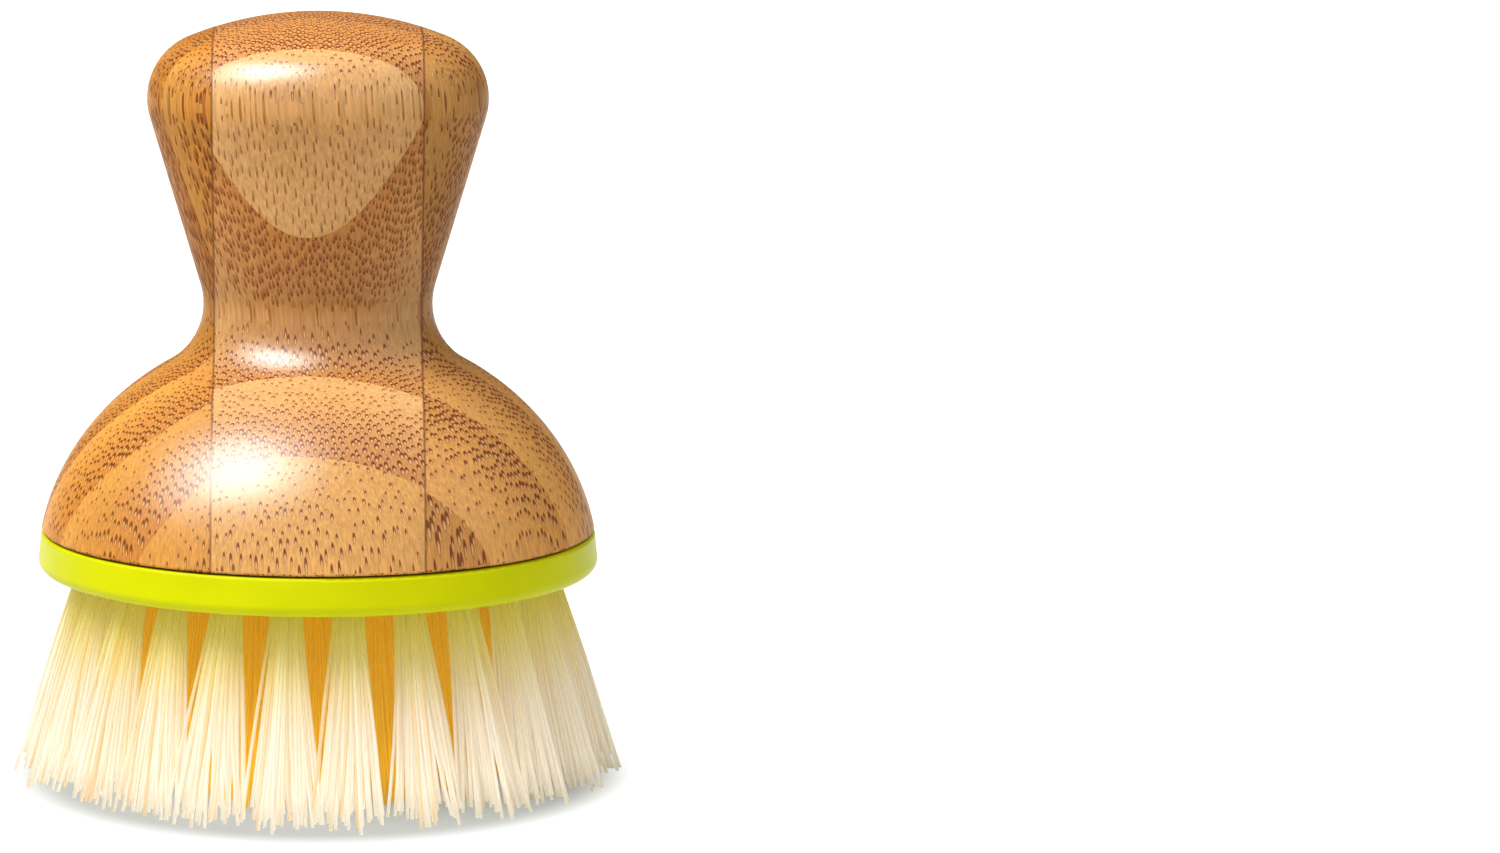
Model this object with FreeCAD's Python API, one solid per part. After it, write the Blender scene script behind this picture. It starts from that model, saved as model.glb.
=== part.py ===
"""Palm brush: a turned bamboo handle on a head of bristle tufts that twists off.

Millimetres. The brush stands on its bristle tips at Z = 0, with +Z up the axis of the handle.
The side that faces -Y is the front.
"""
import FreeCAD, Part
import math
import os

# Handle: three glued staves, turned to a dome, a waist and a knob
HANDLE_HEIGHT = 64.1        # underside of the wood to the top of the crown
DOME_HALF_WIDTH = 35.05     # half width of the ellipse that the dome is turned to
DOME_RISE = 31.0            # half height of that ellipse
DOME_DROP = 5.55            # how far the ellipse's centre lies below the underside
DOME_EDGE_ROUND = 0.3       # softened lower edge of the wood
GRIP_FOOT_RADIUS = 12.43    # grip cone where it meets the dome, before the waist is rounded
GRIP_HEAD_RADIUS = 22.62    # grip cone under the crown, before the shoulder is rounded
CROWN_RADIUS = 42.85        # ball radius of the knob's top
WAIST_ROUND = 8.45
SHOULDER_ROUND = 8.1
STAVE_WIDTH = 25.4          # centre stave, between the two glue lines

# Head: a moulded base with a rim, a plate for the tufts and a hub
BRISTLE_LENGTH = 25.3       # bristle tips to the underside of the base
RIM_RADIUS = 35.0           # widest part of the rim
RIM_TOP_RADIUS = 34.5
RIM_HEIGHT = 4.7
RIM_LOWER_ROUND = 1.3
RIM_UPPER_ROUND = 0.4
PARTING_GAP = 0.25          # dark line between rim and wood
SPIGOT_RADIUS = 30.4        # raised plate that centres the head in the handle's recess
HOLE_FLOOR = 2.0            # plate left above a tuft hole
HUB_RADIUS = 11.0
HUB_WALL = 2.2
HUB_HEIGHT = 9.6

# Bayonet: lugs on the hub pass between ledges in the socket, then turn above them
LUG_COUNT = 3
LUG_REACH = 2.6
LUG_THICKNESS = 3.4
LUG_SPAN = 50.0             # degrees
LEDGE_SPAN = 62.0           # degrees
LEDGE_THICKNESS = 3.0
STOP_CLEARANCE = 1.5        # degrees between a locked lug and its stop
RUN_CLEARANCE = 0.3         # between head and handle wherever they turn past each other
SOCKET_WALL = 2.4
SOCKET_ROOF = 2.6
HUB_TOP_CLEARANCE = 0.6
GLUE_GAP = 0.1              # socket to the bore in the wood

# Countersunk wood screws through the roof of the socket
SCREW_COUNT = 3
SCREW_CIRCLE = 7.5
SCREW_LENGTH = 14.0
SCREW_SHANK_RADIUS = 1.75
SCREW_HEAD_RADIUS = 3.4
SCREW_POINT = 3.0
SCREW_CLEARANCE = 0.05
DRIVE_WIDTH = 0.9           # cross slot in the head
DRIVE_LENGTH = 3.6
DRIVE_DEPTH = 1.4

# Tufts: rings of folded bristle bundles, each held in a blind hole by a wire anchor
OUTER_TUFTS = 24
MIDDLE_TUFTS = 16
INNER_TUFTS = 8
OUTER_ROW_RADIUS = 28.2     # at the underside of the base
ROW_PITCH = 8.6
OUTER_LEAN = 11.9           # degrees; rows nearer the centre lean less, in step with their radius
TUFT_HOLE_RADIUS = 2.3
TUFT_HOLE_DEPTH = 6.4
TUFT_CLEARANCE = 0.1        # bundle to the wall and the end of its hole
TUFT_GAP = 0.4              # least gap between the tips of neighbouring tufts
TUFT_FLUTES = 9             # grooves round a bundle
FLUTE_DEPTH = 0.13          # groove depth, as a share of the bundle's radius
ANCHOR_DEPTH = 4.4          # middle of the anchor, along the hole
ANCHOR_HEIGHT = 1.6
ANCHOR_THICKNESS = 0.5
ANCHOR_BITE = 0.3           # how far each end cuts into the wall of the hole
ANCHOR_CLEARANCE = 0.08     # anchor to the bristles folded over it

# Levels worked out from the sizes above
BASE_UNDERSIDE = BRISTLE_LENGTH
RIM_TOP = BASE_UNDERSIDE + RIM_HEIGHT
HANDLE_UNDERSIDE = RIM_TOP + PARTING_GAP
HANDLE_TOP = HANDLE_UNDERSIDE + HANDLE_HEIGHT
PLATE_TOP = BASE_UNDERSIDE + TUFT_HOLE_DEPTH + HOLE_FLOOR
RECESS_TOP = PLATE_TOP + RUN_CLEARANCE
HUB_TOP = PLATE_TOP + HUB_HEIGHT
LEDGE_TOP = HUB_TOP - LUG_THICKNESS - RUN_CLEARANCE
SOCKET_CEILING = HUB_TOP + HUB_TOP_CLEARANCE
SOCKET_TOP = SOCKET_CEILING + SOCKET_ROOF

# Radii worked out from the sizes above
RECESS_RADIUS = SPIGOT_RADIUS + RUN_CLEARANCE
LUG_RADIUS = HUB_RADIUS + LUG_REACH
LEDGE_RADIUS = HUB_RADIUS + RUN_CLEARANCE
SOCKET_INNER_RADIUS = LUG_RADIUS + RUN_CLEARANCE
SOCKET_RADIUS = SOCKET_INNER_RADIUS + SOCKET_WALL
BORE_RADIUS = SOCKET_RADIUS + GLUE_GAP

OVERCUT = 1.0               # how far a cutting tool runs past the face that it opens
AXIS = FreeCAD.Vector(0, 0, 1)
ORIGIN = FreeCAD.Vector(0, 0, 0)


def point(radius, height):
    """A point of a turned outline, in the XZ plane."""
    return FreeCAD.Vector(radius, 0, height)


def disc(radius, bottom, top):
    return Part.makeCylinder(radius, top - bottom, point(0, bottom))


def tube(outer, inner, bottom, top):
    return disc(outer, bottom, top).cut(disc(inner, bottom, top))


def sector(outer, inner, bottom, top, start, end):
    """A piece of a tube between two angles in degrees."""
    wedge = Part.makeCylinder(outer, top - bottom, point(0, bottom), AXIS, end - start)
    wedge = wedge.cut(disc(inner, bottom, top))
    wedge.rotate(ORIGIN, AXIS, start)
    return wedge


def around(shape, angle):
    """A copy of the shape, turned about the handle's axis."""
    copy = shape.copy()
    copy.rotate(ORIGIN, AXIS, angle)
    return copy


def turn(edges):
    """The solid turned from an outline of edges in the XZ plane."""
    outline = Part.Wire(Part.__sortEdges__(edges))
    return Part.Face(outline).revolve(ORIGIN, AXIS, 360)


def round_edge(solid, size, radius, height):
    """Round the circular edge that lies at this radius and height."""
    def on_circle(edge):
        return all(abs(math.hypot(v.X, v.Y) - radius) < 0.01 and abs(v.Z - height) < 0.01
                   for v in edge.Vertexes)
    return solid.makeFillet(size, [edge for edge in solid.Edges if on_circle(edge)])


def dome_height(radius):
    centre = HANDLE_UNDERSIDE - DOME_DROP
    return centre + DOME_RISE * math.sqrt(1 - (radius / DOME_HALF_WIDTH) ** 2)


def crown_height(radius):
    return HANDLE_TOP - CROWN_RADIUS + math.sqrt(CROWN_RADIUS ** 2 - radius ** 2)


def turned_block():
    """The handle's outer form, from its underside to the crown of the knob."""
    edge_radius = DOME_HALF_WIDTH * math.sqrt(1 - (DOME_DROP / DOME_RISE) ** 2)
    edge = point(edge_radius, HANDLE_UNDERSIDE)
    foot = point(GRIP_FOOT_RADIUS, dome_height(GRIP_FOOT_RADIUS))
    head = point(GRIP_HEAD_RADIUS, crown_height(GRIP_HEAD_RADIUS))
    top = point(0, HANDLE_TOP)
    centre = point(0, HANDLE_UNDERSIDE - DOME_DROP)

    long_end, short_end = point(DOME_HALF_WIDTH, centre.z), point(0, centre.z + DOME_RISE)
    if DOME_RISE > DOME_HALF_WIDTH:
        long_end, short_end = short_end, long_end
    ellipse = Part.Ellipse(long_end, short_end, centre)
    ends = sorted((ellipse.parameter(edge), ellipse.parameter(foot)))
    dome = Part.Edge(ellipse, ends[0], ends[1])

    grip = Part.makeLine(foot, head)
    crown_middle = point(GRIP_HEAD_RADIUS / 2, crown_height(GRIP_HEAD_RADIUS / 2))
    crown = Part.Arc(head, crown_middle, top).toShape()
    axis = Part.makeLine(top, point(0, HANDLE_UNDERSIDE))
    underside = Part.makeLine(point(0, HANDLE_UNDERSIDE), edge)

    block = turn([dome, grip, crown, axis, underside])
    block = round_edge(block, WAIST_ROUND, foot.x, foot.z)
    block = round_edge(block, SHOULDER_ROUND, head.x, head.z)
    return round_edge(block, DOME_EDGE_ROUND, edge.x, edge.z)


def screw_places():
    """The screws, turned about the axis to stand in the middle of the gaps between ledges."""
    return [180 / LUG_COUNT + 360 / SCREW_COUNT * i for i in range(SCREW_COUNT)]


def screw_body(clearance):
    """Countersunk screw, head down at the socket's ceiling, larger by a clearance for its hole."""
    shank = SCREW_SHANK_RADIUS + clearance
    head = SCREW_HEAD_RADIUS + clearance
    sink = SOCKET_CEILING + SCREW_HEAD_RADIUS - SCREW_SHANK_RADIUS
    tip = SOCKET_CEILING + SCREW_LENGTH + clearance
    corners = [point(0, SOCKET_CEILING), point(head, SOCKET_CEILING), point(shank, sink),
               point(shank, tip - SCREW_POINT), point(0, tip)]
    body = turn(Part.makePolygon(corners + corners[:1]).Edges)
    body.translate(FreeCAD.Vector(SCREW_CIRCLE, 0, 0))
    return body


def handle_staves():
    """The turned block, recessed and bored from below, sawn along its two glue lines."""
    block = turned_block()
    recess = disc(RECESS_RADIUS, HANDLE_UNDERSIDE - OVERCUT, RECESS_TOP)
    bore = disc(BORE_RADIUS, HANDLE_UNDERSIDE - OVERCUT, SOCKET_TOP)
    pilots = [around(screw_body(SCREW_CLEARANCE), angle) for angle in screw_places()]
    block = block.cut([recess, bore] + pilots)

    reach = DOME_HALF_WIDTH + GRIP_HEAD_RADIUS
    glue_line = STAVE_WIDTH / 2
    spans = {"left": (-reach, -glue_line), "centre": (-glue_line, glue_line), "right": (glue_line, reach)}
    staves = {}
    for side, (start, end) in spans.items():
        corner = FreeCAD.Vector(start, -reach, HANDLE_UNDERSIDE - OVERCUT)
        slab = Part.makeBox(end - start, 2 * reach, HANDLE_HEIGHT + 2 * OVERCUT, corner)
        staves["handle_stave_" + side] = block.common(slab)
    return staves


def socket_insert():
    """Cup in the handle's bore, with ledges at its mouth, a stop on each and screw holes in its roof."""
    shell = disc(SOCKET_RADIUS, RECESS_TOP, SOCKET_TOP)
    shell = shell.cut(disc(SOCKET_INNER_RADIUS, RECESS_TOP - OVERCUT, SOCKET_CEILING))
    ledge_end = LEDGE_SPAN / 2
    stop_start = LUG_SPAN / 2 + STOP_CLEARANCE
    # Both run a little into the wall, so that the moulding is one solid.
    outer = SOCKET_INNER_RADIUS + SOCKET_WALL / 2
    ledge = sector(outer, LEDGE_RADIUS, LEDGE_TOP - LEDGE_THICKNESS, LEDGE_TOP, -ledge_end, ledge_end)
    stop = sector(outer, LEDGE_RADIUS, LEDGE_TOP - LEDGE_THICKNESS, SOCKET_TOP - SOCKET_ROOF / 2,
                  stop_start, ledge_end)
    inside = []
    for i in range(LUG_COUNT):
        inside.append(around(ledge, 360 / LUG_COUNT * i))
        inside.append(around(stop, 360 / LUG_COUNT * i))
    shell = shell.fuse(inside)
    holes = [around(screw_body(SCREW_CLEARANCE), angle) for angle in screw_places()]
    return shell.cut(holes).removeSplitter()


def socket_screws():
    """The screws as one group, each with a cross slot in its head."""
    screw = screw_body(0)
    for length, width in ((DRIVE_LENGTH, DRIVE_WIDTH), (DRIVE_WIDTH, DRIVE_LENGTH)):
        corner = FreeCAD.Vector(SCREW_CIRCLE - length / 2, -width / 2, SOCKET_CEILING - OVERCUT)
        screw = screw.cut(Part.makeBox(length, width, DRIVE_DEPTH + OVERCUT, corner))
    return Part.makeCompound([around(screw, angle) for angle in screw_places()])


class TuftRow:
    """A ring of equal tufts, all leaning outwards by the same angle."""

    def __init__(self, name, count, radius, half_step):
        self.name = name
        self.radius = radius
        self.lean = math.radians(OUTER_LEAN * radius / OUTER_ROW_RADIUS)
        self.tip_radius = radius + BRISTLE_LENGTH * math.tan(self.lean)
        self.tip_spacing = 2 * self.tip_radius * math.sin(math.pi / count)
        self.angles = [360 / count * (i + half_step) for i in range(count)]

    def node_name(self, number):
        if len(self.angles) == 1:
            return "tuft_" + self.name
        return "tuft_%s_%02d" % (self.name, number)

    def along_hole(self, depth, shape):
        """Move a shape made upright at the origin to this depth in the hole of the row's first tuft."""
        shape.rotate(ORIGIN, FreeCAD.Vector(0, 1, 0), -math.degrees(self.lean))
        shape.translate(FreeCAD.Vector(self.radius - depth * math.sin(self.lean), 0,
                                       BASE_UNDERSIDE + depth * math.cos(self.lean)))
        return shape


def tuft_rows():
    """Rows from the rim inwards, each set half a step from the next."""
    middle_radius = OUTER_ROW_RADIUS - ROW_PITCH
    inner_radius = middle_radius - ROW_PITCH
    return [TuftRow("outer", OUTER_TUFTS, OUTER_ROW_RADIUS, 0.5),
            TuftRow("middle", MIDDLE_TUFTS, middle_radius, 0),
            TuftRow("inner", INNER_TUFTS, inner_radius, 0.5)]


def centre_row():
    """One upright tuft on the axis."""
    return TuftRow("centre", 1, 0, 0)


def least_tip_spacing(rows):
    """Least distance between neighbouring tufts at their tips, round a row or from row to row."""
    spacings = [row.tip_spacing for row in rows]
    spacings += [outer.tip_radius - inner.tip_radius for outer, inner in zip(rows, rows[1:])]
    return min(spacings + [rows[-1].tip_radius])


def tuft_hole(row):
    hole = Part.makeCylinder(TUFT_HOLE_RADIUS, TUFT_HOLE_DEPTH + TUFT_HOLE_RADIUS)
    return row.along_hole(-TUFT_HOLE_RADIUS, hole)


def anchor_blank(row, bite, clearance):
    """Flat wire across a hole, or the window for it through the folded bundle."""
    length = 2 * (TUFT_HOLE_RADIUS + bite)
    width = ANCHOR_THICKNESS + 2 * clearance
    height = ANCHOR_HEIGHT + 2 * clearance
    corner = FreeCAD.Vector(-width / 2, -length / 2, -height / 2)
    return row.along_hole(ANCHOR_DEPTH, Part.makeBox(width, length, height, corner))


def bundle_outline(radius, centre, height):
    """Fluted cross-section of a bundle, level, in a plane at this height."""
    corners = []
    for i in range(2 * TUFT_FLUTES):
        angle = math.pi / TUFT_FLUTES * i
        reach = radius * (1 - FLUTE_DEPTH * (i % 2))
        corners.append(FreeCAD.Vector(centre + reach * math.cos(angle), reach * math.sin(angle), height))
    return Part.makePolygon(corners + corners[:1])


def tuft(row, tip_size):
    """One bundle: straight in its hole, then widening to its tips, with a window for its anchor."""
    root_size = TUFT_HOLE_RADIUS - TUFT_CLEARANCE
    # The fold is cut level, so it stops under the lowest side of the leaning hole's end.
    hole_end = TUFT_HOLE_DEPTH * math.cos(row.lean) - TUFT_HOLE_RADIUS * math.sin(row.lean)
    fold = BASE_UNDERSIDE + hole_end - TUFT_CLEARANCE
    fold_centre = row.radius - (fold - BASE_UNDERSIDE) * math.tan(row.lean)
    sections = [bundle_outline(tip_size, row.tip_radius, 0),
                bundle_outline(root_size, row.radius, BASE_UNDERSIDE),
                bundle_outline(root_size, fold_centre, fold)]
    return Part.makeLoft(sections, True, True).cut(anchor_blank(row, 0, ANCHOR_CLEARANCE))


def brush_base(rows):
    """The lime moulding: rim, plate with leaning blind holes, hollow hub and its lugs."""
    edge = point(RIM_RADIUS, BASE_UNDERSIDE)
    lip = point(RIM_TOP_RADIUS, RIM_TOP)
    corners = [point(0, BASE_UNDERSIDE), edge, lip, point(SPIGOT_RADIUS, RIM_TOP),
               point(SPIGOT_RADIUS, PLATE_TOP), point(0, PLATE_TOP)]
    base = turn(Part.makePolygon(corners + corners[:1]).Edges)
    base = round_edge(base, RIM_LOWER_ROUND, edge.x, edge.z)
    base = round_edge(base, RIM_UPPER_ROUND, lip.x, lip.z)

    holes = [around(tuft_hole(row), angle) for row in rows for angle in row.angles]
    base = base.cut(holes)

    hub = tube(HUB_RADIUS, HUB_RADIUS - HUB_WALL, PLATE_TOP - HOLE_FLOOR / 2, HUB_TOP)
    lug = sector(LUG_RADIUS, HUB_RADIUS - HUB_WALL / 2, HUB_TOP - LUG_THICKNESS, HUB_TOP,
                 -LUG_SPAN / 2, LUG_SPAN / 2)
    lugs = [around(lug, 360 / LUG_COUNT * i) for i in range(LUG_COUNT)]
    return base.fuse([hub] + lugs).removeSplitter()


def build():
    rings = tuft_rows()
    tip_size = (least_tip_spacing(rings) - TUFT_GAP) / 2
    rows = rings + [centre_row()]

    pieces = handle_staves()
    pieces["socket_insert"] = socket_insert()
    pieces["socket_screws"] = socket_screws()
    pieces["brush_base"] = brush_base(rows)
    anchors = []
    for row in rows:
        first_tuft = tuft(row, tip_size)
        first_anchor = anchor_blank(row, ANCHOR_BITE, 0)
        for number, angle in enumerate(row.angles, start=1):
            pieces[row.node_name(number)] = around(first_tuft, angle)
            anchors.append(around(first_anchor, angle))
    pieces["tuft_anchors"] = Part.makeCompound(anchors)
    return pieces


os.makedirs("parts", exist_ok=True)
for name, shape in build().items():
    shape.exportStep("parts/%s.step" % name)
    print(name, "solids", len(shape.Solids), "volume %.1f mm3" % shape.Volume, "valid", shape.isValid())
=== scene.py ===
"""Palm brush: a turned bamboo knob on a lime plastic head of cream and golden bristles.

Metres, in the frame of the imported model: +Z up the handle's axis, -Y to the front.
"""
import math
import random

import bpy
from mathutils import Matrix, Vector


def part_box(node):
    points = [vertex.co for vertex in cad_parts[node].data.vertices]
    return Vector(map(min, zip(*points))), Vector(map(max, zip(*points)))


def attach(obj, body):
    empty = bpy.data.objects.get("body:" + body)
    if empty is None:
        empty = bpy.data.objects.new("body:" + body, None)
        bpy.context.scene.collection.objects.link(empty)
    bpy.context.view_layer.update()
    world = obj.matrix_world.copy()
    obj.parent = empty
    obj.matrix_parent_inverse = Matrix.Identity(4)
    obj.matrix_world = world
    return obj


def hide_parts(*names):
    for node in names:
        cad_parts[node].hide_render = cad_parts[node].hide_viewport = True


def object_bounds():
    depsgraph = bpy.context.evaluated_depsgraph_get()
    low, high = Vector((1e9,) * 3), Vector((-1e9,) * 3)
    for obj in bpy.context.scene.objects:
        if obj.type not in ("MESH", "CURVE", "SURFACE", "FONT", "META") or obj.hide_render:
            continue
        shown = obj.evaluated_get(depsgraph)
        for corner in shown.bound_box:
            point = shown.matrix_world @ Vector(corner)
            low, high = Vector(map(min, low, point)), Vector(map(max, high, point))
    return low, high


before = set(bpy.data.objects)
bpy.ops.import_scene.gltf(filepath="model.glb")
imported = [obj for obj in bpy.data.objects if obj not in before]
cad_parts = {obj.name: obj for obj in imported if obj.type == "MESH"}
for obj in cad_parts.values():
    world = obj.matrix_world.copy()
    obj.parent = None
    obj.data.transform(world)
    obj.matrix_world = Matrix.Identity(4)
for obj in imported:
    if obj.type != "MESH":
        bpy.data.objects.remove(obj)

cad_low, cad_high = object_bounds()
base_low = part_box("brush_base")[0]

MM = 0.001
SEED = 4107

# Camera: a long lens a little above the brush, with the brush left of the middle of the picture
PHOTO_WIDTH = 1500
FOCAL_PIXELS = 4555
CAMERA_PLACE = (0, -560 * MM, 130.2 * MM)
CAMERA_PITCH = math.radians(8.872)
BRUSH_COLUMN = 318
SENSOR_WIDTH = 36.0

# Bamboo, in millimetres: the glue lines, and how the strips bend below the knob and the canes lean
GLUE_LINE_X = 12.7
GLUE_LINE_HALF_WIDTH = 0.1
BEND_LOW = 42.0
BEND_HIGH = 68.0
BEND = -1.3
CANE_LEAN = (0.07, -0.05, 0)

# Ends of fibre bundles: their pitch and radius along a strip and through it
BUNDLE_STAGGER = math.radians(45)
CLOSE_PITCH = (0.6, 0.38)
CLOSE_RADIUS = (0.168, 0.168)
WIDE_PITCH = (1.05, 0.6)
WIDE_RADIUS = (0.105, 0.23)
SQUARE_PITCH = (0.71, 0.8)
SQUARE_RADIUS = (0.225, 0.245)

# How steep the wood stands, by the upright share of its normal: upright, nearly so and cut across
UPRIGHT = 0.06
STEEP = 0.2
CUT_ACROSS = 0.26

# Heights on the handle, and the least slope that shows bundles whole: on the dome, and from the grip up
GRIP_FOOT = 57.0
GRIP_LOW = 62.0
SQUARE_BELOW = 0.1
SQUARE_ABOVE = 0.55
CROWN_FROM = 75.0
# Heights of the waist that is painted darker as shade under the knob, and how light that painted shade is
WAIST_LOW = 49.0
WAIST_FOOT = 55.0
WAIST_HEAD = 60.0
PAINTED_SHADE_LIGHT = 0.74

# Fibre lines: real ones are some hundredths of a millimetre wide, drawn coarser so that they show
FIBRE_WIDTH = 0.16
FIBRE_RUN = 9.0

# Filaments, a little thicker and fewer than real ones: their number to a tuft and how unevenly they end
FILAMENT_RADIUS = 0.21 * MM
FILAMENT_SIDES = 6
FILAMENT_STATIONS = (0.0, 0.2, 0.42, 0.64, 0.84, 1.0)
OUTER_FILAMENTS = 54
INNER_FILAMENTS = 56
ROOT_DEPTH = 2.5 * MM
ROOT_PACKING = 0.86
# Height from which the filaments are painted towards the root colour, as painted shade under the head
ROOT_PAINTED_SHADE_FROM = 10.5 * MM
TIP_UNEVENNESS = 2.5 * MM
OUTER_SPLAY = (0.97, 1.3)
INNER_SPLAY = (0.82, 1.12)
TUFT_LEAN = 0.9 * MM
STRAY_SHARE = 0.12
STRAY_REACH = 3.2 * MM
BOW = 0.7 * MM
# How strongly filaments beside a gap are painted with light from the golden tufts behind
GAP_PAINTED_LIGHT = 0.75
GOLDEN_ANGLE = math.pi * (3 - math.sqrt(5))

# Floor: half its width, the grey under the bristles and the sheet that throws light up
FLOOR_REACH = 6.0
SHADE_FORWARD = 5 * MM
SHADE_FULL = 32 * MM
SHADE_END = 41 * MM
SHEET_FULL = 60 * MM
SHEET_END = 160 * MM

# Studio
WORLD_LIGHT = 0.19
KEY_FROM = (-0.46, -0.27, 0.85)


def hex_colour(code):
    """Linear RGBA of an sRGB hex code."""
    channels = [int(code[i:i + 2], 16) / 255 for i in (1, 3, 5)]
    linear = [c / 12.92 if c <= 0.04045 else ((c + 0.055) / 1.055) ** 2.4 for c in channels]
    return (*linear, 1.0)


def add(tree, kind, inputs=None, **settings):
    """Adds a node; each input takes a value, a socket, or a node for its first output."""
    made = tree.nodes.new(kind)
    for name, value in settings.items():
        setattr(made, name, value)
    for key, value in (inputs or {}).items():
        if isinstance(value, bpy.types.Node):
            value = value.outputs[0]
        if isinstance(value, bpy.types.NodeSocket):
            tree.links.new(value, made.inputs[key])
        else:
            made.inputs[key].default_value = value
    return made


def new_material(name):
    """A node material: itself, its tree and its shader."""
    material = bpy.data.materials.new(name)
    material.use_nodes = True
    return material, material.node_tree, material.node_tree.nodes["Principled BSDF"]


def bundle_layer(tree, across, down, pitch, radius, girth, thin):
    """Cut ends of fibre bundles on a staggered grid.

    Returns the dark of the sheath, the pale of its vessels and a random number for each bundle. pitch and
    radius are in millimetres along and through a strip. The sheath is thickest on the uphill side, thin
    gives its dark downhill, and its vessels lie there, so that a bundle shows as a teardrop.
    """
    cells = add(tree, "ShaderNodeMapping", {"Vector": across, "Rotation": (0, 0, BUNDLE_STAGGER),
                                            "Scale": (1 / pitch[0], 1 / pitch[1], 1)})
    bundle = add(tree, "ShaderNodeTexVoronoi", {"Vector": cells, "Scale": 1.0, "Randomness": 0.55},
                 voronoi_dimensions="2D")
    chance = add(tree, "ShaderNodeSeparateColor", {0: bundle.outputs["Color"]})
    size = add(tree, "ShaderNodeMapRange", {0: chance.outputs["Green"], 1: 0.0, 2: 1.0, 3: 0.8, 4: 1.15})
    size = add(tree, "ShaderNodeMath", {0: size, 1: girth}, operation="MULTIPLY")

    # Place within the bundle, from its middle, with 1 at its edge
    offset = add(tree, "ShaderNodeVectorMath", {0: cells, 1: bundle.outputs["Position"]},
                 operation="SUBTRACT")
    offset = add(tree, "ShaderNodeVectorRotate", {"Vector": offset, "Angle": -BUNDLE_STAGGER},
                 rotation_type="Z_AXIS")
    offset = add(tree, "ShaderNodeVectorMath",
                 {0: offset, 1: (pitch[0] / radius[0], pitch[1] / radius[1], 0)}, operation="MULTIPLY")
    offset = add(tree, "ShaderNodeVectorMath", {0: offset, 1: size}, operation="DIVIDE")
    off_middle = add(tree, "ShaderNodeVectorMath", {0: offset}, operation="LENGTH").outputs["Value"]
    sheath = add(tree, "ShaderNodeMapRange", {0: off_middle, 1: 1.12, 2: 0.88, 3: 0.0, 4: 1.0},
                 interpolation_type="SMOOTHSTEP")
    downhill = add(tree, "ShaderNodeVectorMath", {0: offset, 1: down}, operation="DOT_PRODUCT")
    cap = add(tree, "ShaderNodeMapRange",
              {0: downhill.outputs["Value"], 1: 0.7, 2: -0.3, 3: thin, 4: 1.0})
    dark = add(tree, "ShaderNodeMath", {0: sheath, 1: cap}, operation="MULTIPLY")
    beside = add(tree, "ShaderNodeVectorMath", {0: down, 1: (-0.3, -0.3, 0), 2: offset},
                 operation="MULTIPLY_ADD")
    beside = add(tree, "ShaderNodeVectorMath", {0: beside}, operation="LENGTH").outputs["Value"]
    vessel = add(tree, "ShaderNodeMapRange", {0: beside, 1: 0.3, 2: 0.65, 3: 1.0, 4: 0.0},
                 interpolation_type="SMOOTHSTEP")
    return dark, vessel, chance.outputs["Red"]


def swaying_canes(tree, mm, height):
    """The place in the block, with the slow sway of the fibres and the lean of the canes taken along."""
    slow = add(tree, "ShaderNodeVectorMath", {0: mm, 1: (0.05, 0.05, 0.025)}, operation="MULTIPLY")
    sway = add(tree, "ShaderNodeTexNoise", {"Vector": slow, "Scale": 1.0, "Detail": 1.0})
    sway = add(tree, "ShaderNodeVectorMath",
               {0: sway.outputs["Color"], 1: (2.0, 2.0, 0), 2: (-1.0, -1.0, 0)}, operation="MULTIPLY_ADD")
    lean = add(tree, "ShaderNodeVectorMath", {0: CANE_LEAN, "Scale": height}, operation="SCALE")
    sway = add(tree, "ShaderNodeVectorMath", {0: sway, 1: lean}, operation="ADD")
    return add(tree, "ShaderNodeVectorMath", {0: mm, 1: sway}, operation="ADD")


def strip_place(tree, straight, strips):
    """The number of the strip that a point lies in, how dense with bundles it is there, a random number.

    The density is 1 at the dense face and 0 towards the pale one.
    """
    bend = add(tree, "ShaderNodeMapRange",
               {0: straight.outputs["Z"], 1: BEND_LOW, 2: BEND_HIGH, 3: BEND, 4: 0.0})
    leaned = add(tree, "ShaderNodeMath", {0: straight.outputs["Y"], 1: bend}, operation="SUBTRACT")
    aside = add(tree, "ShaderNodeMath", {0: straight.outputs["X"], 1: strips["middle"]},
                operation="SUBTRACT")
    cup = add(tree, "ShaderNodeMath", {0: aside, 1: -strips["cup"], 2: -strips["turn"]},
              operation="MULTIPLY_ADD")
    cupped = add(tree, "ShaderNodeMath", {0: aside, 1: cup, 2: leaned}, operation="MULTIPLY_ADD")
    depth = add(tree, "ShaderNodeMath", {0: cupped, 1: strips["face"]}, operation="SUBTRACT")
    count = add(tree, "ShaderNodeMath", {0: depth, 1: strips["dense_side"] / strips["pitch"]},
                operation="MULTIPLY")
    strip = add(tree, "ShaderNodeMath", {0: count}, operation="FLOOR")
    inside = add(tree, "ShaderNodeMath", {0: count}, operation="FRACT")
    density = add(tree, "ShaderNodeMapRange", {0: inside, 1: 0.0, 2: 0.9, 3: 1.0, 4: 0.0})
    chance = add(tree, "ShaderNodeTexWhiteNoise", {"W": strip}, noise_dimensions="1D").outputs["Value"]
    return strip, density, chance


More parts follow.
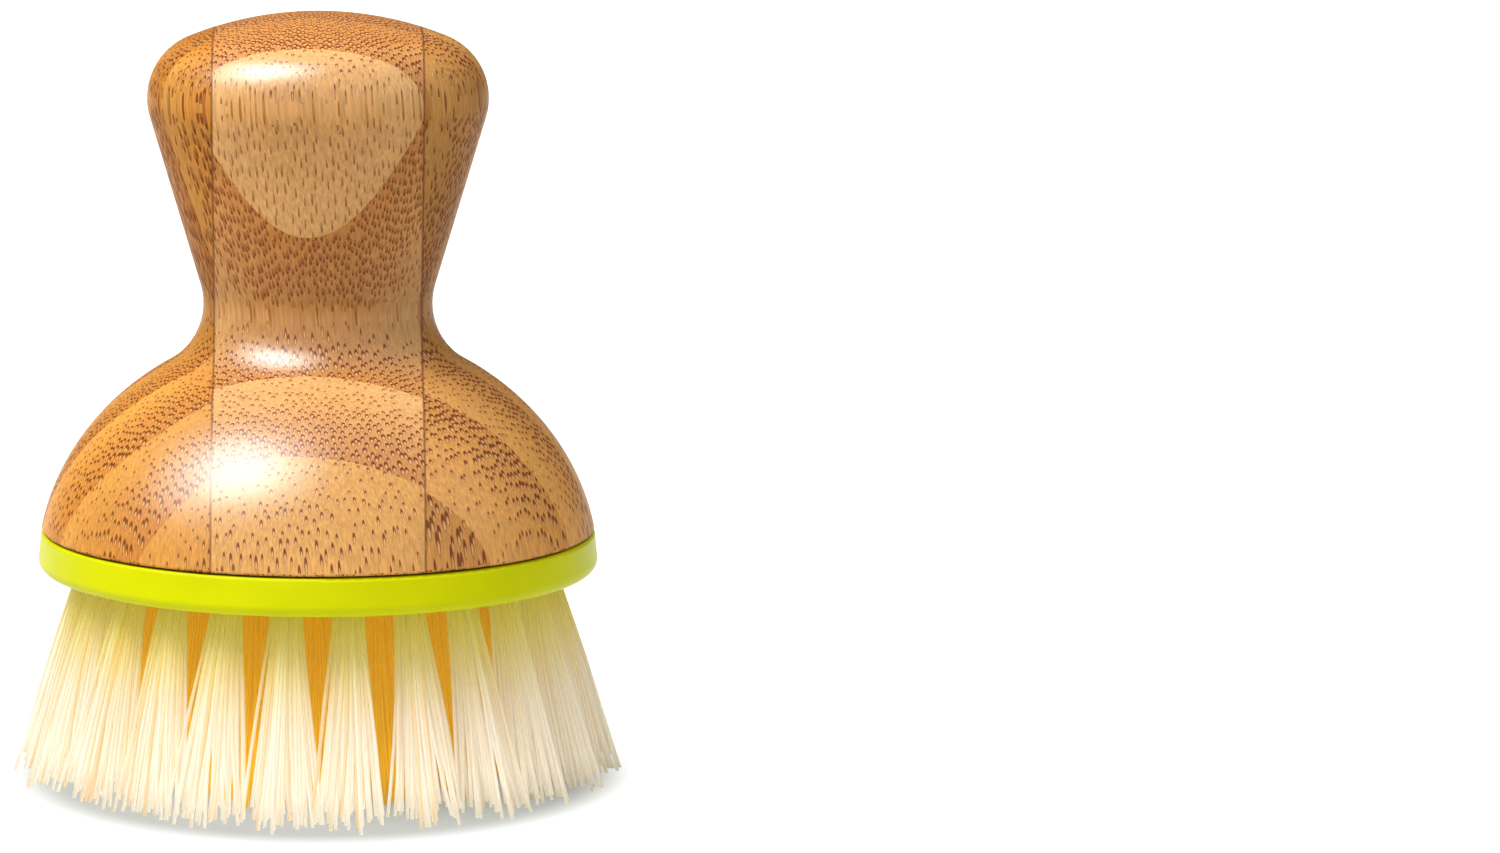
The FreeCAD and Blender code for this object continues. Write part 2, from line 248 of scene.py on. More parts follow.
def crowded_share(tree, facing, height, strip, density, strips):
    """How crowded bundles are: by the strip's density, and on the crown in all strips but the pale one."""
    crown = add(tree, "ShaderNodeMapRange", {0: facing, 1: 0.6, 2: 0.93, 3: 0.0, 4: 1.0})
    on_top = add(tree, "ShaderNodeMath", {0: height, 1: CROWN_FROM}, operation="GREATER_THAN")
    crown = add(tree, "ShaderNodeMath", {0: crown, 1: on_top}, operation="MULTIPLY")
    in_pale = add(tree, "ShaderNodeMath", {0: strip, 1: strips["pale_strip"], 2: 0.5}, operation="COMPARE")
    not_pale = add(tree, "ShaderNodeMath", {0: 1.0, 1: in_pale}, operation="SUBTRACT")
    crown = add(tree, "ShaderNodeMath", {0: crown, 1: not_pale}, operation="MULTIPLY")
    return add(tree, "ShaderNodeMath", {0: density, 1: crown}, operation="MAXIMUM")


def upright_bundles(tree, across, down, tilt, density, strips):
    """Bundles on the upright wood: close together near a dense face, further apart towards a pale one."""
    coarse = add(tree, "ShaderNodeVectorMath", {0: across, "Scale": 1 / strips["grain"]}, operation="SCALE")
    # Where the wood stands upright fewer of them lie open, those of the pale wood in broader streaks
    shown_share = add(tree, "ShaderNodeMapRange", {0: tilt, 1: UPRIGHT, 2: STEEP, 3: 0.42, 4: 0.92})
    length_cut = add(tree, "ShaderNodeMapRange", {0: tilt, 1: UPRIGHT, 2: STEEP, 3: 1.5, 4: 1.0})
    layers = []
    for pitch, radius, girth in ((CLOSE_PITCH, CLOSE_RADIUS, 1.0), (WIDE_PITCH, WIDE_RADIUS, length_cut)):
        dark, vessel, chance = bundle_layer(tree, coarse, down, pitch, radius, girth, 0.85)
        is_shown = add(tree, "ShaderNodeMath", {0: chance, 1: shown_share}, operation="LESS_THAN")
        dark = add(tree, "ShaderNodeMath", {0: dark, 1: is_shown}, operation="MULTIPLY")
        layers.append((dark, vessel, chance))
    (close_dark, close_vessel, close_chance), (wide_dark, wide_vessel, _) = layers
    # The two kinds meet in a ragged line
    ragged = add(tree, "ShaderNodeMath", {0: close_chance, 1: 0.3, 2: density}, operation="MULTIPLY_ADD")
    is_close = add(tree, "ShaderNodeMath", {0: ragged, 1: strips["close_from"] + 0.15},
                   operation="GREATER_THAN")
    dark = add(tree, "ShaderNodeMix", {"Factor": is_close, "A": wide_dark, "B": close_dark})
    vessel = add(tree, "ShaderNodeMix", {"Factor": is_close, "A": wide_vessel, "B": close_vessel})
    return dark, vessel


def square_bundles(tree, across, down, facing, density, crowded, strips):
    """Bundles on the dome and crown, which cut them squarely and show them whole."""
    # On the crown they are so large that they all but touch
    girth = add(tree, "ShaderNodeMapRange", {0: facing, 1: 0.86, 2: 0.97, 3: 1.0, 4: 1.45})
    crowd = add(tree, "ShaderNodeMapRange", {0: density, 1: 0.1, 2: 0.8, 3: 0.85, 4: strips["crowd"]})
    girth = add(tree, "ShaderNodeMath", {0: girth, 1: crowd}, operation="MULTIPLY")
    # The dome's steep foot draws them out, so they are finer there
    foot = add(tree, "ShaderNodeMapRange", {0: facing, 1: 0.12, 2: 0.6, 3: 0.58, 4: 1.0})
    girth = add(tree, "ShaderNodeMath", {0: girth, 1: foot}, operation="MULTIPLY")
    dark, vessel, chance = bundle_layer(tree, across, down, SQUARE_PITCH, SQUARE_RADIUS, girth, 0.45)
    shown_share = add(tree, "ShaderNodeMapRange", {0: crowded, 1: 0.05, 2: 0.5, 3: 0.5, 4: 1.0})
    is_shown = add(tree, "ShaderNodeMath", {0: chance, 1: shown_share}, operation="LESS_THAN")
    dark = add(tree, "ShaderNodeMath", {0: dark, 1: is_shown}, operation="MULTIPLY")
    vessel = add(tree, "ShaderNodeMath", {0: vessel, 1: is_shown}, operation="MULTIPLY")
    return dark, vessel


def ground_colour(tree, strip, crowded, light, tones):
    """Ground tissue between the bundles: paler inside each strip, with a tone of its own at the front."""
    front = add(tree, "ShaderNodeMath", {0: strip, 1: -1.5}, operation="LESS_THAN")
    ground = add(tree, "ShaderNodeMix",
                 {"Factor": crowded, "A": hex_colour(tones["pale"]), "B": hex_colour(tones["dense"])},
                 data_type="RGBA")
    ground = add(tree, "ShaderNodeMix",
                 {"Factor": front, "A": ground.outputs["Result"], "B": hex_colour(tones["front"])},
                 data_type="RGBA")
    return add(tree, "ShaderNodeVectorMath", {0: ground.outputs["Result"], "Scale": light},
               operation="SCALE")


def ground_light(tree, mm, height, fibre, strip_chance, painted_shade_to):
    """How light the ground tissue is: by its fibre lines, slow blotches, its strip and painted shade."""
    blotch = add(tree, "ShaderNodeTexNoise", {"Vector": mm, "Scale": 0.06, "Detail": 2.0})
    fibre_light = add(tree, "ShaderNodeMapRange", {0: fibre, 1: 0.3, 2: 0.7, 3: 0.74, 4: 1.16})
    blotch_light = add(tree, "ShaderNodeMapRange",
                       {0: blotch.outputs[0], 1: 0.3, 2: 0.7, 3: 0.93, 4: 1.06})
    strip_light = add(tree, "ShaderNodeMapRange", {0: strip_chance, 1: 0.0, 2: 1.0, 3: 0.94, 4: 1.05})
    light = add(tree, "ShaderNodeMath", {0: fibre_light, 1: blotch_light}, operation="MULTIPLY")
    light = add(tree, "ShaderNodeMath", {0: light, 1: strip_light}, operation="MULTIPLY")
    # Painted shade: the waist under the knob and the sides of the grip are painted a little darker
    below = add(tree, "ShaderNodeMapRange",
                {0: height, 1: WAIST_FOOT, 2: WAIST_LOW, 3: PAINTED_SHADE_LIGHT, 4: 1.0})
    above = add(tree, "ShaderNodeMapRange",
                {0: height, 1: WAIST_HEAD, 2: painted_shade_to, 3: PAINTED_SHADE_LIGHT, 4: 1.0})
    painted_shade = add(tree, "ShaderNodeMath", {0: below, 1: above}, operation="MAXIMUM")
    return add(tree, "ShaderNodeMath", {0: light, 1: painted_shade}, operation="MULTIPLY")


def glue_line(tree, aside, wood):
    """The wood with the dark glue line between two staves."""
    off_line = add(tree, "ShaderNodeMath", {0: aside}, operation="ABSOLUTE")
    off_line = add(tree, "ShaderNodeMath", {0: off_line, 1: GLUE_LINE_X}, operation="SUBTRACT")
    off_line = add(tree, "ShaderNodeMath", {0: off_line}, operation="ABSOLUTE")
    line = add(tree, "ShaderNodeMapRange",
               {0: off_line, 1: GLUE_LINE_HALF_WIDTH * 2, 2: GLUE_LINE_HALF_WIDTH * 0.6, 3: 0.0, 4: 0.7})
    return add(tree, "ShaderNodeMix", {"Factor": line, "A": wood, "B": hex_colour("#6A3713")},
               data_type="RGBA").outputs["Result"]


def satin_lacquer(tree, shader, facing, coat):
    """Sprayed satin lacquer: it shines most where the wood faces up, and stays dull at a grazing angle."""
    view = add(tree, "ShaderNodeLayerWeight", {"Blend": 0.5}).outputs["Facing"]
    gloss = add(tree, "ShaderNodeMapRange", {0: view, 1: 0.22, 2: 0.62, 3: coat, 4: coat * 0.12})
    lying = add(tree, "ShaderNodeMapRange", {0: facing, 1: -0.05, 2: 0.3, 3: 0.08, 4: 1.0})
    gloss = add(tree, "ShaderNodeMath", {0: gloss, 1: lying}, operation="MULTIPLY")
    tree.links.new(gloss.outputs[0], shader.inputs["Coat Weight"])
    shader.inputs["Coat Roughness"].default_value = 0.26
    shader.inputs["Coat IOR"].default_value = 1.85


def pressed_bamboo(name, strips, tones, coat):
    """Turned laminated bamboo under satin lacquer.

    Fibre bundles run up the handle, so they show as dots on the crown, teardrops on the dome and streaks
    where the wood stands upright. Each strip of a stave is dense with bundles at the face that was the
    cane's outside, and pale with fewer towards its inside.
    """
    material, tree, shader = new_material(name)
    place = add(tree, "ShaderNodeTexCoord")
    mm = add(tree, "ShaderNodeVectorMath", {0: place.outputs["Object"], "Scale": 1 / MM}, operation="SCALE")
    straight = add(tree, "ShaderNodeSeparateXYZ", {0: mm})
    height = straight.outputs["Z"]
    swayed = swaying_canes(tree, mm, height)
    axes = add(tree, "ShaderNodeSeparateXYZ", {0: swayed})

    # How squarely the surface cuts the fibres: 1 on the crown, 0 where the wood stands upright
    normal = add(tree, "ShaderNodeSeparateXYZ", {0: place.outputs["Normal"]})
    facing = normal.outputs["Z"]
    down = add(tree, "ShaderNodeCombineXYZ", {"X": normal.outputs["X"], "Y": normal.outputs["Y"]})
    down = add(tree, "ShaderNodeVectorMath", {0: down}, operation="NORMALIZE")
    tilt = add(tree, "ShaderNodeMath", {0: facing}, operation="ABSOLUTE")
    cross_cut = add(tree, "ShaderNodeMapRange", {0: tilt, 1: UPRIGHT, 2: CUT_ACROSS, 3: 0.0, 4: 1.0})
    upward = add(tree, "ShaderNodeMapRange", {0: facing, 1: 0.1, 2: 0.5, 3: 0.0, 4: 1.0})

    # Each strip has a pattern of its own
    strip, density, strip_chance = strip_place(tree, straight, strips)
    crowded = crowded_share(tree, facing, height, strip, density, strips)
    shifted = add(tree, "ShaderNodeMath", {0: strip_chance, 1: 9.0, 2: axes.outputs["X"]},
                  operation="MULTIPLY_ADD")
    across = add(tree, "ShaderNodeCombineXYZ", {"X": shifted, "Y": axes.outputs["Y"]})

    # The knob's shoulder is too short and steep to show bundles whole, and shows them lengthwise
    upright_dark, upright_vessel = upright_bundles(tree, across, down, tilt, density, strips)
    square_dark, square_vessel = square_bundles(tree, across, down, facing, density, crowded, strips)
    square_from = add(tree, "ShaderNodeMapRange",
                      {0: height, 1: GRIP_FOOT, 2: GRIP_LOW, 3: SQUARE_BELOW, 4: SQUARE_ABOVE})
    is_square = add(tree, "ShaderNodeMath", {0: facing, 1: square_from}, operation="GREATER_THAN")
    dark = add(tree, "ShaderNodeMix", {"Factor": is_square, "A": upright_dark, "B": square_dark})
    vessel = add(tree, "ShaderNodeMix", {"Factor": is_square, "A": upright_vessel, "B": square_vessel})
    open_share = add(tree, "ShaderNodeMapRange", {0: facing, 1: 0.1, 2: 0.3, 3: 0.15, 4: 0.5})
    vessel = add(tree, "ShaderNodeMath", {0: vessel, 1: open_share}, operation="MULTIPLY")
    solid = add(tree, "ShaderNodeMath", {0: 1.0, 1: vessel}, operation="SUBTRACT")
    ring = add(tree, "ShaderNodeMath", {0: dark, 1: solid}, operation="MULTIPLY")

    # Cut across they are full, on wood that faces down by the share dashes, and lengthwise by streaks
    streak = add(tree, "ShaderNodeMapRange", {0: density, 1: 0.0, 2: 0.6, 3: strips["streaks"], 4: 0.9})
    across_cut = add(tree, "ShaderNodeMapRange", {0: upward, 1: 0.0, 2: 0.5, 3: strips["dashes"], 4: 1.0})
    strength = add(tree, "ShaderNodeMix", {"Factor": cross_cut, "A": streak, "B": across_cut})
    fade = add(tree, "ShaderNodeMapRange", {0: crowded, 1: 0.05, 2: 0.6, 3: 0.88, 4: 1.0})
    strength = add(tree, "ShaderNodeMath", {0: strength, 1: fade}, operation="MULTIPLY")
    spots = add(tree, "ShaderNodeMath", {0: ring, 1: strength}, operation="MULTIPLY")

    # Ground tissue, then the bundles, their vessels and the glue line over it
    fibre_place = add(tree, "ShaderNodeVectorMath",
                      {0: swayed, 1: (1 / FIBRE_WIDTH, 1 / FIBRE_WIDTH, 1 / FIBRE_RUN)},
                      operation="MULTIPLY")
    fibre = add(tree, "ShaderNodeTexNoise",
                {"Vector": fibre_place, "Scale": 0.5, "Detail": 3.0, "Roughness": 0.6}).outputs[0]
    light = ground_light(tree, mm, height, fibre, strip_chance, strips["painted_shade_to"])
    ground = ground_colour(tree, strip, crowded, light, tones)
    dark_share = add(tree, "ShaderNodeMath", {0: cross_cut, 1: density}, operation="MAXIMUM")
    cut_tone = add(tree, "ShaderNodeMix",
                   {"Factor": dark_share, "A": hex_colour(tones["streak"]), "B": hex_colour(tones["bundle"])},
                   data_type="RGBA")
    spotted = add(tree, "ShaderNodeMix", {"Factor": spots, "A": ground, "B": cut_tone.outputs["Result"]},
                  data_type="RGBA")
    spotted = add(tree, "ShaderNodeMix",
                  {"Factor": vessel, "A": spotted.outputs["Result"], "B": hex_colour(tones["vessel"])},
                  data_type="RGBA")
    lined = glue_line(tree, straight.outputs["X"], spotted.outputs["Result"])

    relief = add(tree, "ShaderNodeMath", {0: fibre, 1: spots}, operation="SUBTRACT")
    bump = add(tree, "ShaderNodeBump", {"Strength": 0.22, "Distance": 0.05 * MM, "Height": relief})
    rough = add(tree, "ShaderNodeMapRange", {0: spots, 1: 0.0, 2: 1.0, 3: 0.42, 4: 0.55})
    tree.links.new(lined, shader.inputs["Base Color"])
    tree.links.new(bump.outputs[0], shader.inputs["Normal"])
    tree.links.new(bump.outputs[0], shader.inputs["Coat Normal"])
    tree.links.new(rough.outputs[0], shader.inputs["Roughness"])
    shader.inputs["IOR"].default_value = 1.5
    shader.inputs["Specular IOR Level"].default_value = 0.05
    satin_lacquer(tree, shader, facing, coat)
    return material


def moulded_plastic(name, colour, roughness, gloss):
    """Moulded polypropylene: even colour, faint flow tones and the soft orange peel of the mould."""
    material, tree, shader = new_material(name)
    place = add(tree, "ShaderNodeTexCoord").outputs["Object"]
    mm = add(tree, "ShaderNodeVectorMath", {0: place, "Scale": 1 / MM}, operation="SCALE")
    flow = add(tree, "ShaderNodeTexNoise", {"Vector": mm, "Scale": 0.12, "Detail": 2.0})
    flow_light = add(tree, "ShaderNodeMapRange", {0: flow.outputs[0], 1: 0.3, 2: 0.7, 3: 0.96, 4: 1.04})
    tone = add(tree, "ShaderNodeVectorMath", {0: hex_colour(colour)[:3], "Scale": flow_light},
               operation="SCALE")
    peel = add(tree, "ShaderNodeTexNoise", {"Vector": mm, "Scale": 2.5, "Detail": 2.0})
    bump = add(tree, "ShaderNodeBump", {"Strength": 0.05, "Distance": 0.05 * MM, "Height": peel.outputs[0]})
    rough = add(tree, "ShaderNodeMapRange",
                {0: peel.outputs[0], 1: 0.3, 2: 0.7, 3: roughness - 0.04, 4: roughness + 0.04})
    tree.links.new(tone.outputs[0], shader.inputs["Base Color"])
    tree.links.new(bump.outputs[0], shader.inputs["Normal"])
    tree.links.new(rough.outputs[0], shader.inputs["Roughness"])
    shader.inputs["IOR"].default_value = 1.49
    shader.inputs["Specular IOR Level"].default_value = gloss
    return material


def drawn_steel(name, colour, roughness):
    """Zinc-plated or drawn steel: grey metal with a fine uneven sheen."""
    material, tree, shader = new_material(name)
    place = add(tree, "ShaderNodeTexCoord").outputs["Object"]
    mm = add(tree, "ShaderNodeVectorMath", {0: place, "Scale": 1 / MM}, operation="SCALE")
    grain = add(tree, "ShaderNodeTexNoise", {"Vector": mm, "Scale": 6.0, "Detail": 3.0})
    rough = add(tree, "ShaderNodeMapRange",
                {0: grain.outputs[0], 1: 0.3, 2: 0.7, 3: roughness - 0.08, 4: roughness + 0.08})
    bump = add(tree, "ShaderNodeBump", {"Strength": 0.1, "Distance": 0.02 * MM, "Height": grain.outputs[0]})
    tree.links.new(rough.outputs[0], shader.inputs["Roughness"])
    tree.links.new(bump.outputs[0], shader.inputs["Normal"])
    shader.inputs["Base Color"].default_value = hex_colour(colour)
    shader.inputs["Metallic"].default_value = 1.0
    return material


def drawn_nylon(name, pale, deep, root, glow, clear):
    """Drawn nylon filament: translucent and satin, each filament of a slightly different tone.

    Towards their roots they are painted the colour root, as painted shade under the head with a painted
    reflection of its lime plastic, and beside the gaps the tone carries painted light from the golden tufts.
    What passes through them comes out in the colour glow. clear is the share of light that passes.
    """
    material, tree, shader = new_material(name)
    tone = add(tree, "ShaderNodeAttribute", attribute_name="filament_tone_and_gap_light")
    colour = add(tree, "ShaderNodeMix",
                 {"Factor": tone.outputs["Fac"], "A": hex_colour(pale), "B": hex_colour(deep)},
                 data_type="RGBA")
    place = add(tree, "ShaderNodeTexCoord").outputs["Object"]
    height = add(tree, "ShaderNodeSeparateXYZ", {0: place}).outputs["Z"]
    # Painted shade and a painted reflection of the lime head: towards their roots the filaments take the
    # colour root
    painted_root_shade = add(tree, "ShaderNodeMapRange",
                    {0: height, 1: ROOT_PAINTED_SHADE_FROM, 2: base_low.z, 3: 0.0, 4: 0.9},
                    interpolation_type="SMOOTHSTEP")
    colour = add(tree, "ShaderNodeMix",
                 {"Factor": painted_root_shade, "A": colour.outputs["Result"], "B": hex_colour(root)},
                 data_type="RGBA")
    tree.links.new(colour.outputs["Result"], shader.inputs["Base Color"])
    shader.inputs["Roughness"].default_value = 0.38
    shader.inputs["IOR"].default_value = 1.53
    warm = add(tree, "ShaderNodeMix",
               {"Factor": 1.0, "A": colour.outputs["Result"], "B": hex_colour(glow)},
               data_type="RGBA", blend_type="MULTIPLY")
    through = add(tree, "ShaderNodeBsdfTranslucent", {"Color": warm.outputs["Result"]})
    mixed = add(tree, "ShaderNodeMixShader", {0: clear, 1: shader, 2: through})
    tree.links.new(mixed.outputs[0], tree.nodes["Material Output"].inputs["Surface"])
    return material


def white_paper(name):
    """White paper: matt, bright to the eye and to reflections, and it keeps the shadow of the brush."""
    material, tree, shader = new_material(name)
    shader.inputs["Base Color"].default_value = hex_colour("#959595")
    shader.inputs["Roughness"].default_value = 0.9
    shader.inputs["Specular IOR Level"].default_value = 0.0
    path = add(tree, "ShaderNodeLightPath")
    seen = add(tree, "ShaderNodeMath", {0: path.outputs["Is Camera Ray"], 1: path.outputs["Is Glossy Ray"]},
               operation="MAXIMUM")
    seen = add(tree, "ShaderNodeMath", {0: seen, 1: path.outputs["Is Transmission Ray"]},
               operation="MAXIMUM")
    place = add(tree, "ShaderNodeTexCoord").outputs["Object"]
    from_brush = add(tree, "ShaderNodeVectorMath", {0: place}, operation="LENGTH").outputs["Value"]
    under_brush = add(tree, "ShaderNodeVectorMath", {0: place, 1: (0, SHADE_FORWARD, 0)}, operation="ADD")
    under_brush = add(tree, "ShaderNodeVectorMath", {0: under_brush}, operation="LENGTH").outputs["Value"]
    # The bristles throw no shadow of their own, so the paper is greyer under them and close in front
    glow_strength = add(tree, "ShaderNodeMapRange",
                        {0: under_brush, 1: SHADE_FULL, 2: SHADE_END, 3: 0.16, 4: 0.86},
                        interpolation_type="SMOOTHSTEP")
    glow = add(tree, "ShaderNodeEmission", {"Color": (1, 1, 1, 1), "Strength": glow_strength})
    shown = add(tree, "ShaderNodeAddShader", {0: shader.outputs[0], 1: glow})
    # The sheet reflects light up into the bristles; further out it falls into the dark of the room
    sheet = add(tree, "ShaderNodeMapRange", {0: from_brush, 1: SHEET_FULL, 2: SHEET_END, 3: 0.85, 4: 0.15})
    bounce = add(tree, "ShaderNodeBsdfDiffuse", {"Color": sheet})
    mixed = add(tree, "ShaderNodeMixShader", {0: seen, 1: bounce, 2: shown})
    tree.links.new(mixed.outputs[0], tree.nodes["Material Output"].inputs["Surface"])
    return material


def tuft_ends(node):
    """Centre and radius of a tuft at the base's underside and at its tips, from its CAD solid."""
    points = [v.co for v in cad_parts[node].data.vertices]
    ends = []
    for level in (base_low.z, cad_low.z):
        ring = [p for p in points if abs(p.z - level) < 0.05 * MM]
        centre = sum(ring, Vector()) / len(ring)
        ends.append((centre, max((p - centre).length for p in ring)))
    return ends


def filament_tuft(node, material, count, spread, chance):
    """One tuft of separate filaments in place of its CAD solid."""
    (root, root_radius), (tip, tip_radius) = tuft_ends(node)
    points = []
    faces = []
    tones = []
    run = tip - root
    around = Vector((-root.y, root.x, 0)).normalized()
    lean = around * chance.uniform(-TUFT_LEAN, TUFT_LEAN)
    stations = [-ROOT_DEPTH / -run.z, *FILAMENT_STATIONS]
    for i in range(count):
        share = math.sqrt((i + 0.5) / count)
        angle = i * GOLDEN_ANGLE + chance.uniform(-0.35, 0.35)
        out = Vector((math.cos(angle), math.sin(angle), 0))
        at_root = out * (root_radius - FILAMENT_RADIUS) * share * ROOT_PACKING
        splay = tip_radius * share * chance.uniform(*spread)
        at_tip = Matrix.Rotation(chance.uniform(-0.3, 0.3), 3, "Z") @ out * splay + lean
        if chance.random() < STRAY_SHARE:
            at_tip += around * chance.uniform(-STRAY_REACH, STRAY_REACH)
        bow_angle = chance.uniform(0, 2 * math.pi)
        bow = Vector((math.cos(bow_angle), math.sin(bow_angle), 0)) * chance.uniform(0, BOW)
        end = 1 - chance.uniform(0, 1) ** 1.6 * TIP_UNEVENNESS / -run.z
        tone = chance.random() ** 4.5
        # Painted light: filaments beside a gap are painted warmer, for the light through the golden tufts
        # behind them, most of all near their roots
        painted_gap_light = GAP_PAINTED_LIGHT * abs(out.dot(around)) * share
        first = len(points)
        for station in stations:
            t = station * end if station > 0 else station
            fan = max(t, 0) ** 1.15
            middle = root + run * t + at_root.lerp(at_tip, fan) + bow * math.sin(math.pi * max(t, 0))
            for s in range(FILAMENT_SIDES):
                turn = 2 * math.pi * s / FILAMENT_SIDES
                points.append(middle + Vector((math.cos(turn), math.sin(turn), 0)) * FILAMENT_RADIUS)
                tones.append(max(tone * (1 - 0.4 * fan), painted_gap_light * (1 - fan)))
        for ring in range(len(stations) - 1):
            for s in range(FILAMENT_SIDES):
                a = first + ring * FILAMENT_SIDES + s
                b = first + ring * FILAMENT_SIDES + (s + 1) % FILAMENT_SIDES
                faces.append((a, a + FILAMENT_SIDES, b + FILAMENT_SIDES, b))
        last = first + (len(stations) - 1) * FILAMENT_SIDES
        faces.append(tuple(range(first, first + FILAMENT_SIDES)))
        faces.append(tuple(last + s for s in reversed(range(FILAMENT_SIDES))))
    mesh = bpy.data.meshes.new(node + "_filaments")
    mesh.from_pydata(points, [], faces)
    tone_and_gap_light_layer = mesh.attributes.new("filament_tone_and_gap_light", "FLOAT", "POINT")
    tone_and_gap_light_layer.data.foreach_set("value", tones)
    for face in mesh.polygons:
        face.use_smooth = len(face.vertices) == 4
    mesh.materials.append(material)
    piece = bpy.data.objects.new(node + "_filaments", mesh)
    bpy.context.scene.collection.objects.link(piece)
    # Nylon lets light through, so the filaments don't shade each other
    piece.visible_shadow = False
    piece.visible_diffuse = False
    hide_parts(node)
    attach(piece, "brush_head")
    return piece


def dress(node, material):
    """Gives a CAD node its finish."""
    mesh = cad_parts[node].data
    mesh.materials.clear()
    mesh.materials.append(material)


def soft_lamp(name, towards, width_degrees, strength, shines=True):
    """A wide studio lamp, far enough away to light the whole floor evenly; a fill lamp makes no shine."""
    lamp = bpy.data.lights.new(name, "SUN")
    lamp.angle = math.radians(width_degrees)
    lamp.energy = strength
    obj = bpy.data.objects.new(name, lamp)
    obj.rotation_euler = Vector(towards).to_track_quat("Z", "Y").to_euler()
    obj.visible_glossy = shines
    bpy.context.scene.collection.objects.link(obj)


# Wood: three staves, each of its own canes.
# face is the Y of one dense face at the height of the knob and middle the X of the stave's middle, with the
# strips' turn and cup across the stave, their pitch, and the way in Y that they go from dense to pale.
# pale_strip is the number of the strip that stays pale on the crown, and close_from the density at which
# bundles lie close. streaks and dashes are how strongly bundles show lengthwise and on wood that faces
# down, and grain is how coarse they are. The height after grain is how far up the stave is painted darker
# as shade, and crowd is the girth of bundles at a dense face.
LEFT_STRIPS = {"face": -17.6, "middle": -16.5, "turn": 0.0, "cup": 0.022, "pitch": 8.5, "dense_side": 1,
               "pale_strip": -9, "close_from": 0.1, "streaks": 1.0, "dashes": 1.0, "grain": 1.4,
               "painted_shade_to": 86.0, "crowd": 1.5}
CENTRE_STRIPS = {"face": -16.8, "middle": 0.0, "turn": -0.06, "cup": 0.005, "pitch": 9.9, "dense_side": 1,
                 "pale_strip": -1, "close_from": 0.4, "streaks": 1.0, "dashes": 0.85, "grain": 1.0,
                 "painted_shade_to": 71.0, "crowd": 1.3}
RIGHT_STRIPS = {"face": -15.75, "middle": 17.0, "turn": 0.075, "cup": 0.0, "pitch": 10.8, "dense_side": -1,
                "pale_strip": -9, "close_from": 0.3, "streaks": 1.0, "dashes": 1.0, "grain": 1.2,
                "painted_shade_to": 94.0, "crowd": 1.6}
LEFT_TONES = {"pale": "#DC9A46", "front": "#D8943E", "dense": "#C87E2E",
              "bundle": "#783A08", "streak": "#763A08", "vessel": "#F4BC6C"}
CENTRE_TONES = {"pale": "#EAB270", "front": "#E2A456", "dense": "#CE8A46",
                "bundle": "#7C3412", "streak": "#A86C0C", "vessel": "#F6C882"}
RIGHT_TONES = {"pale": "#DC9E52", "front": "#D8984A", "dense": "#CC8A3E",
               "bundle": "#76380C", "streak": "#7E4A12", "vessel": "#EDB87A"}
dress("handle_stave_left", pressed_bamboo("pressed_bamboo_left", LEFT_STRIPS, LEFT_TONES, 1.0))
dress("handle_stave_centre", pressed_bamboo("pressed_bamboo_centre", CENTRE_STRIPS, CENTRE_TONES, 1.0))
dress("handle_stave_right", pressed_bamboo("pressed_bamboo_right", RIGHT_STRIPS, RIGHT_TONES, 0.9))

# Head and hidden fittings
dress("brush_base", moulded_plastic("moulded_lime_polypropylene", "#C8CB00", 0.34, 0.08))
dress("socket_insert", moulded_plastic("moulded_grey_polypropylene", "#BDBDB8", 0.45, 0.5))
dress("socket_screws", drawn_steel("zinc_plated_steel", "#CFCFCB", 0.32))
dress("tuft_anchors", drawn_steel("drawn_flat_wire", "#D6D2C8", 0.28))

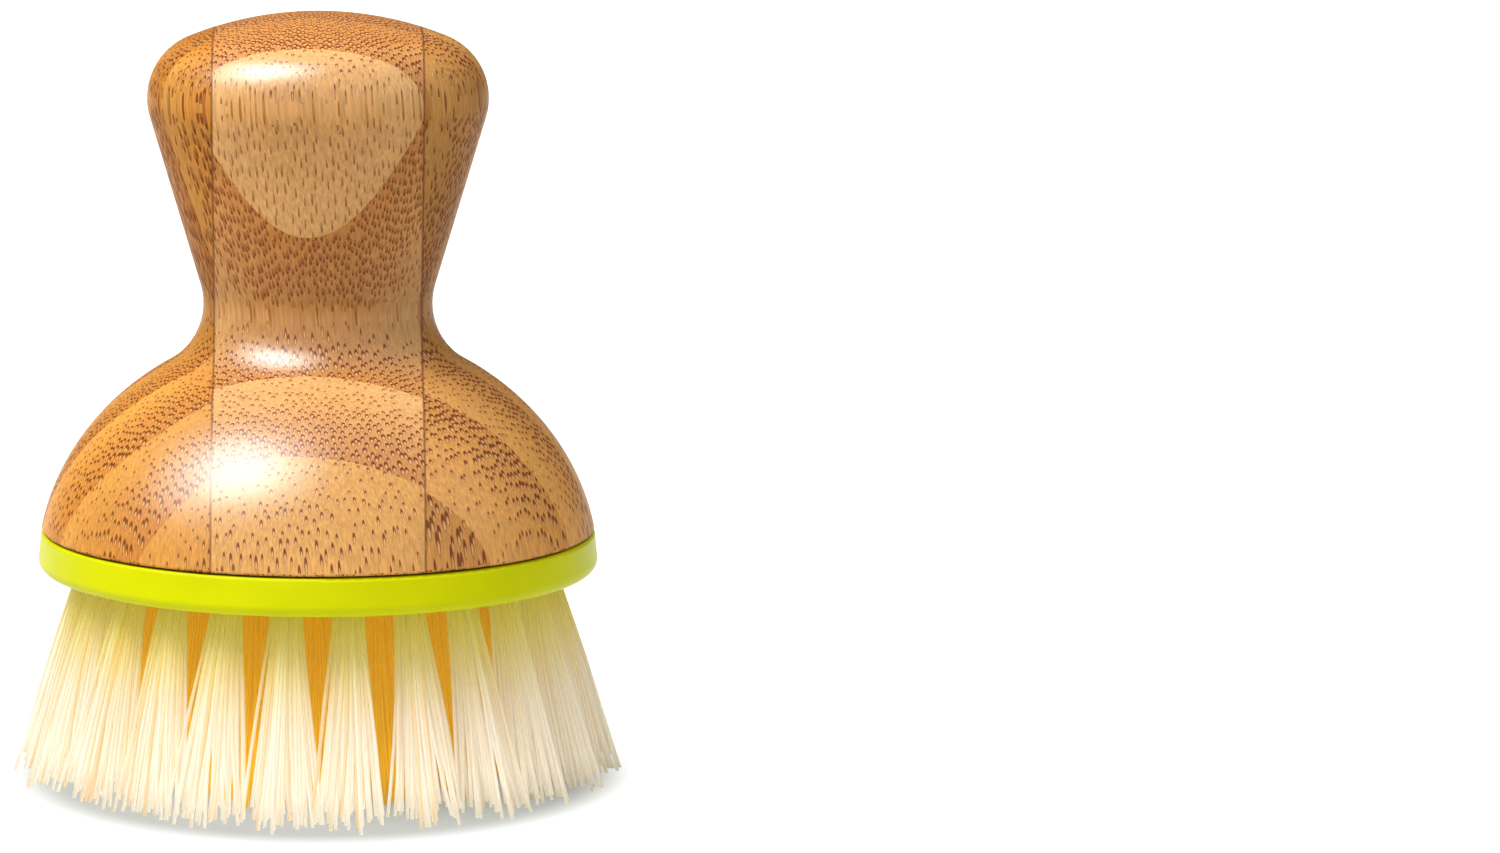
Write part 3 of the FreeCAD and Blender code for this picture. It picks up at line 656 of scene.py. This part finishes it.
# Bristles: cream in the outer row, golden inside it
cream = drawn_nylon("drawn_cream_nylon", "#FBF7EE", "#F6D498", "#EFE466", "#FFF6E6", 0.5)
golden = drawn_nylon("drawn_golden_nylon", "#FFD03A", "#FFC428", "#FFCC30", "#FFFFFF", 0.5)
chance = random.Random(SEED)
for node in sorted(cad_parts):
    if node.startswith("tuft_outer"):
        filament_tuft(node, cream, OUTER_FILAMENTS, OUTER_SPLAY, chance)
    elif node.startswith("tuft_") and node != "tuft_anchors":
        filament_tuft(node, golden, INNER_FILAMENTS, INNER_SPLAY, chance)

# Camera
scene = bpy.context.scene
lens = bpy.data.cameras.new("camera")
lens.sensor_width = SENSOR_WIDTH
lens.lens = FOCAL_PIXELS / PHOTO_WIDTH * SENSOR_WIDTH
lens.clip_start = 0.01
camera = bpy.data.objects.new("camera", lens)
scene.collection.objects.link(camera)
lens.shift_x = (PHOTO_WIDTH / 2 - BRUSH_COLUMN) / PHOTO_WIDTH
camera.location = CAMERA_PLACE
camera.rotation_euler = (math.pi / 2 - CAMERA_PITCH, 0, 0)
scene.camera = camera

# Floor
floor_mesh = bpy.data.meshes.new("floor")
floor_corners = [(-FLOOR_REACH, -FLOOR_REACH, 0), (FLOOR_REACH, -FLOOR_REACH, 0),
                 (FLOOR_REACH, FLOOR_REACH, 0), (-FLOOR_REACH, FLOOR_REACH, 0)]
floor_mesh.from_pydata(floor_corners, [], [(0, 1, 2, 3)])
floor_mesh.materials.append(white_paper("white_paper"))
floor = bpy.data.objects.new("floor", floor_mesh)
floor.location.z = cad_low.z
scene.collection.objects.link(floor)

# Studio: even surroundings, a wide soft light high on the left, one overhead and a weak one low in front
world = bpy.data.worlds.new("studio")
scene.world = world
world.use_nodes = True
world.node_tree.nodes["Background"].inputs["Color"].default_value = (1, 1, 1, 1)
world.node_tree.nodes["Background"].inputs["Strength"].default_value = WORLD_LIGHT
soft_lamp("key_lamp", KEY_FROM, 60, 0.4)
soft_lamp("key_centre_lamp", KEY_FROM, 30, 1.4)
soft_lamp("key_left_lamp", (-0.66, -0.14, 0.74), 34, 0.75)
soft_lamp("key_right_lamp", (-0.27, -0.37, 0.89), 28, 0.7)
soft_lamp("front_lamp", (-0.4, -0.9, 0.12), 50, 0.22, shines=False)
soft_lamp("overhead_lamp", (0.05, -0.3, 1), 130, 1.9, shines=False)

scene.view_settings.view_transform = "Standard"
